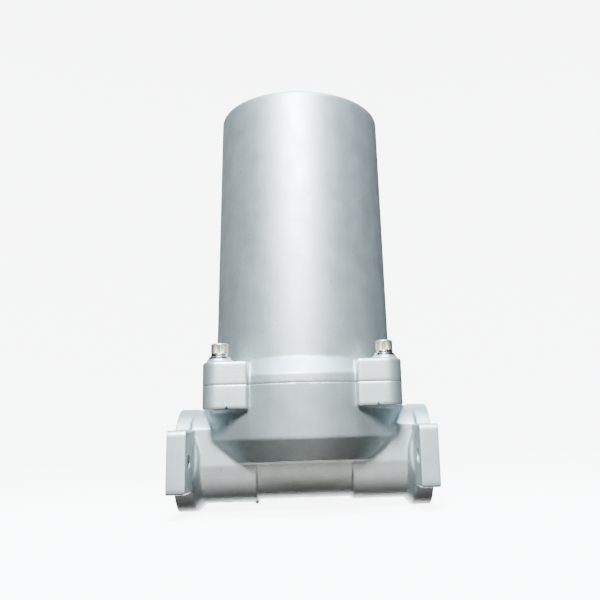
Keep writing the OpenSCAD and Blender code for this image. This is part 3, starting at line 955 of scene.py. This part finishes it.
def pleats():
    """One folded sheet with round folds and slight waves, closed into a ring."""
    low, high = ELEMENT_LOW_Z + CAP_T, ELEMENT_TOP_Z - CAP_T
    thick, rows = 0.45, 36
    line, per_fold = folded_line()
    count = len(line)
    verts, faces = [], []
    for side in (1, -1):
        for j in range(rows + 1):
            z = low + (high - low) * j / rows
            for i, p in enumerate(line):
                along = (line[(i + 1) % count] - line[i - 1]).normalized()
                fold, place = divmod(i, per_fold)
                wave = 0.12 * math.sin(0.11 * z + 1.7 * fold) if place > 2 else 0
                q = p + Vector((along.y, -along.x)) * (side * thick / 2) + along * wave
                verts.append((q.x, q.y, z))
    layer = (rows + 1) * count
    top = rows * count
    for i in range(count):
        n = (i + 1) % count
        for j in range(rows):
            a, b = j * count, (j + 1) * count
            faces.append([a + i, a + n, b + n, b + i])
            faces.append([layer + b + i, layer + b + n, layer + a + n, layer + a + i])
        faces.append([i, layer + i, layer + n, n])
        faces.append([top + i, top + n, layer + top + n, layer + top + i])
    sheet = mesh_object("pleats", verts, faces)
    return finish_piece(sheet, "pleated_paper", "element", PAPER, ["pleated_pack"], 50)


def end_cap(name, node, seat, direction, hole_r, collar):
    """Pressed cap with a rolled rim and a stamped ring; seat is its outer face."""
    rim, stamp = CAP_R - 1.1, 0.9
    stamped = [(CAP_R - 16, 0), (CAP_R - 14, stamp), (CAP_R - 9, stamp), (CAP_R - 7, 0)]
    profile = [(hole_r, 0), *stamped, (CAP_R, 0), (CAP_R, CAP_RIM_H), (rim, CAP_RIM_H), (rim, CAP_T)]
    if collar:
        collar_r = hole_r + CAP_COLLAR_T
        profile += [(collar_r, CAP_T), (collar_r, CAP_COLLAR_H), (hole_r, CAP_COLLAR_H)]
    else:
        profile += [(hole_r, CAP_T)]
    placed = [(r, seat + direction * h) for r, h in rounded(profile, 0.9, 4)]
    return finish_piece(lathe("cap", placed, 160), name, "element", PAINT, [node], 40)


def coil_rise(t, turns):
    """How far a coil has climbed after t turns, in pitches: its first and last turn close up."""
    if t < 1:
        return t * t / 2
    if t > turns - 1:
        return turns - 1 - (turns - t) ** 2 / 2
    return t - 0.5


def spring(name, node, radius, wire, turns, low, high):
    """Round wire with closed ends, coiled to fill the height between low and high."""
    steps, pitch = 48, (high - low - 2 * wire) / (turns - 1)
    line = []
    for i in range(turns * steps + 1):
        t = i / steps
        z = low + wire + pitch * coil_rise(t, turns)
        line.append((radius * math.cos(TAU * t), radius * math.sin(TAU * t), z))
    coil = sweep("coil", line, arc(0, 0, wire, 0, 330, 11))
    finish_piece(coil, name, None, SPRING, [node])
    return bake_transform(coil)


def o_ring(name, node, body, at, along, radius, wire):
    ring = lathe("seal", arc(radius, 0, wire, 0, 345, 23), 192, at, along)
    return finish_piece(ring, name, body, RUBBER, [node], 60)


# ---- the pieces -----------------------------------------------------------------------

base_casting()
bowl_casting()
for number in (1, 2, 3, 4):
    cap_screw(number)
    washers(number)

socket_plug("vent_screw", 4.9, 13, (0, 0, VENT_Z), False, "vent_plug", "vent_plug")
gasket("vent_gasket", 5.1, VENT_Z - PLUG_SEAL_T, 0, "vent_ring", "vent_seal")
socket_plug("drain_screw", 6.9, 5.5, (DRAIN_X, 0, DRAIN_Z), True, "drain_plug", "drain_plug")
gasket("drain_gasket", 7.1, DRAIN_Z, DRAIN_X, "drain_ring", "drain_seal")

guard()
pleats()
end_cap("lower_cap", "lower_end_cap", ELEMENT_LOW_Z, 1, SPIGOT_R + 0.4, True)
end_cap("upper_cap", "upper_end_cap", ELEMENT_TOP_Z, -1, 12, False)

UP = (0, 0, 1)
o_ring("joint_seal", "bowl_seal", BASE, (0, 0, JOINT_Z - SEAL_T - SEAL_SINK), UP, SEAL_R, SEAL_T)
seal_x = PORT_X - PORT_SEAL_T - SEAL_SINK
o_ring("inlet_seal", "inlet_face_seal", BASE, (-seal_x, 0, PORT_Z), (-1, 0, 0), PORT_SEAL_R, PORT_SEAL_T)
o_ring("outlet_seal", "outlet_face_seal", BASE, (seal_x, 0, PORT_Z), (1, 0, 0), PORT_SEAL_R, PORT_SEAL_T)
o_ring("spigot_o_ring", "spigot_seal", "element", (0, 0, ELEMENT_LOW_Z + 10.8), UP, SPIGOT_R - 1.1, 1.25)

relief_low, relief_top = ELEMENT_TOP_Z - CAP_T - CAGE_H + 2, ELEMENT_TOP_Z - CAP_T - 3
spring("relief_spring", "bypass_spring", 9, 0.8, 6, relief_low, relief_top)
hold_low = ELEMENT_TOP_Z + 2
spring("hold_spring", "hold_down_spring", 21, 1.3, 5, hold_low, BOWL_ROOF_Z)

for node, material in {"element_spigot": BRASS, "core_tube": GUARD, "bypass_cage": BRIGHT,
                       "bypass_valve": BRASS, "hold_down_plate": BRIGHT}.items():
    shown = frame["nodes"][node]
    shown.data.materials.clear()
    shown.data.materials.append(material)

# ---- floor, light and camera, in metres ------------------------------------------------


def sweep_floor():
    """Pale floor that curves up into a wall all round, so that no horizon shows."""
    curve_r, wall_r, wall_z = 0.9, 2.5, 3.2
    low, thick = -0.001, 0.02
    curve = arc(1.6, curve_r, curve_r, -90, 0, 24)
    top = [(r, z + low) for r, z in [(0, 0), (0.4, 0), (1.0, 0), *curve, (wall_r, wall_z)]]
    back = [(r + thick, z - thick) for r, z in reversed(top[1:])]
    floor = lathe("floor", top + back + [(0, low - thick)], 96)
    m = Nodes("floor_paint", "floor", (0.88, 0.89, 0.9), 0.0, 0.9)
    m.set(Base_Color=m.ramp(m.noise(3, 2, 0.5), (0.3, 0.86), (0.7, 0.89)))
    m.shader.inputs["Emission Color"].default_value = (0.97, 0.98, 1.0, 1)
    m.shader.inputs["Emission Strength"].default_value = 7.0
    floor.data.materials.append(m.material)
    floor.data.polygons.foreach_set("use_smooth", [True] * len(floor.data.polygons))
    floor.visible_diffuse = False
    floor.visible_glossy = False
    floor.visible_shadow = False


def lamp(name, at, aim_z, size, power, colour):
    """A round lamp that is turned towards a height on the part's axis."""
    data = bpy.data.lights.new(name, "AREA")
    data.shape = "DISK"
    data.size = size
    data.energy = power
    data.color = colour
    obj = bpy.data.objects.new(name, data)
    bpy.context.scene.collection.objects.link(obj)
    obj.location = at
    obj.rotation_euler = (Vector((0, 0, aim_z)) - Vector(at)).to_track_quat("-Z", "Y").to_euler()
    return obj


def world_light():
    """Even light from above that fades out below the horizon."""
    world = bpy.data.worlds.new("studio")
    bpy.context.scene.world = world
    world.use_nodes = True
    tree = world.node_tree
    place = tree.nodes.new("ShaderNodeTexCoord")
    split = tree.nodes.new("ShaderNodeSeparateXYZ")
    ramp = tree.nodes.new("ShaderNodeValToRGB")
    tree.links.new(place.outputs["Generated"], split.inputs[0])
    tree.links.new(split.outputs["Z"], ramp.inputs["Fac"])
    stops = ((0.2, (0.05, 0.05, 0.05, 1)), (0.9, (0.62, 0.72, 0.8, 1)))
    for element, (position, colour) in zip(ramp.color_ramp.elements, stops):
        element.position = position
        element.color = colour
    tree.links.new(ramp.outputs["Color"], tree.nodes["Background"].inputs["Color"])
    tree.nodes["Background"].inputs["Strength"].default_value = 0.16


def studio_camera():
    """Low and a little to the right, looking slightly up, as far away as a hand-held shot."""
    pan, pitch, roll = 0.0492, 0.2054, -0.0289
    ahead = Vector((math.sin(pan) * math.cos(pitch), math.cos(pan) * math.cos(pitch), math.sin(pitch)))
    right = Vector((math.cos(pan), -math.sin(pan), 0))
    up = right.cross(ahead)
    side = right * math.cos(roll) + up * math.sin(roll)
    over = up * math.cos(roll) - right * math.sin(roll)
    turn = Matrix((side, over, -ahead)).transposed()
    data = bpy.data.cameras.new("camera")
    data.lens = 41.64
    data.sensor_width = 36
    data.shift_x = -0.075
    data.shift_y = -0.013
    data.clip_start = 0.02
    camera = bpy.data.objects.new("camera", data)
    bpy.context.scene.collection.objects.link(camera)
    camera.matrix_world = Matrix.Translation((0.0079, -0.5946, 0.0554)) @ turn.to_4x4()
    bpy.context.scene.camera = camera


sweep_floor()
world_light()
lamp("key", (-0.15, -1.55, 1.2), 0.16, 0.5, 140, (0.96, 1.0, 1.03))
lamp("fill", (0.0, -0.95, -0.95), 0.05, 0.9, 6.5, (1.0, 0.94, 0.85))
lamp("sky", (0.0, -0.5, 1.9), 0.1, 0.8, 95, (0.64, 0.85, 1.0))
lamp("back", (0.1, 1.5, 1.2), 0.15, 1.0, 14, (1.0, 1.0, 1.0))
lamp("low_back", (0.0, 1.3, -0.5), 0.15, 1.0, 32, (1.0, 1.0, 1.0))
studio_camera()
